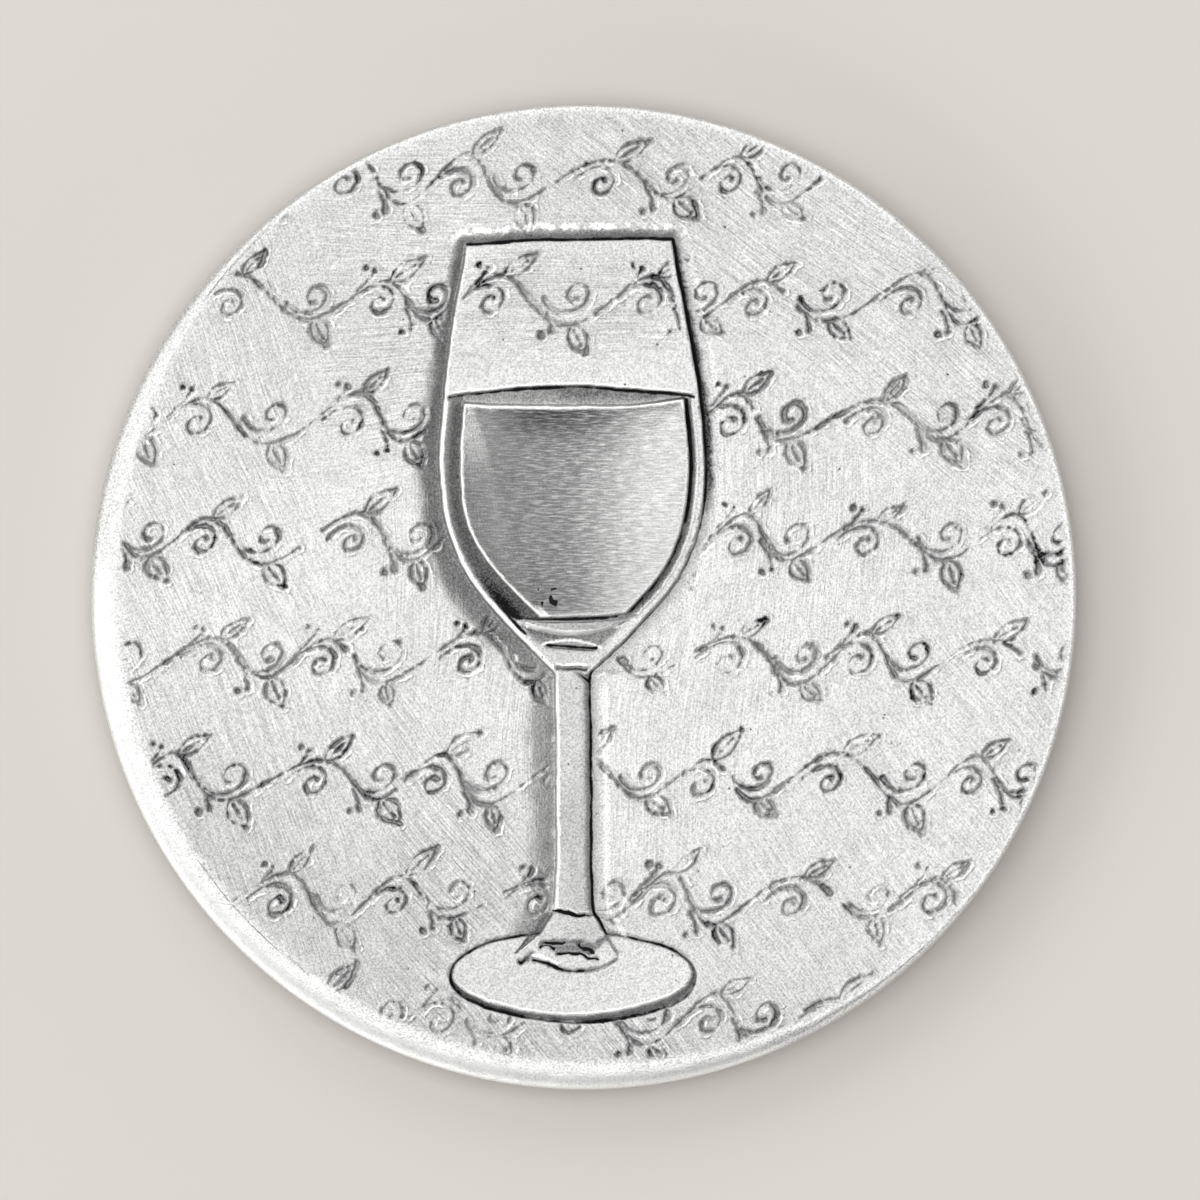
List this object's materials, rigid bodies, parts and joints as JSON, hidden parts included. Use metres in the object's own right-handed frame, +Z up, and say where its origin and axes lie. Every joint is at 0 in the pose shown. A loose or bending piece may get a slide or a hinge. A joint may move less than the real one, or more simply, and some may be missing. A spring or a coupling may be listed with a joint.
{
  "type": "drink coaster",
  "caption": "Round cast pewter drink coaster with a wine glass in sunk relief on its brushed face and a cork pad bonded underneath.",
  "frame": {"origin": "centre of the cork pad's underside, on the table", "axes": "+Z up out of the decorated face, +Y towards the rim of the relief's wine glass, +X to its right"},
  "size_m": [0.102, 0.102, 0.0062],
  "materials": {
    "pewter": "satin",
    "adhesive": "satin",
    "cork": "matte"
  },
  "bodies": {
    "root": {"pewter_disc": "pewter", "adhesive_film": "adhesive", "cork_pad": "cork"}
  },
  "joints": []
}
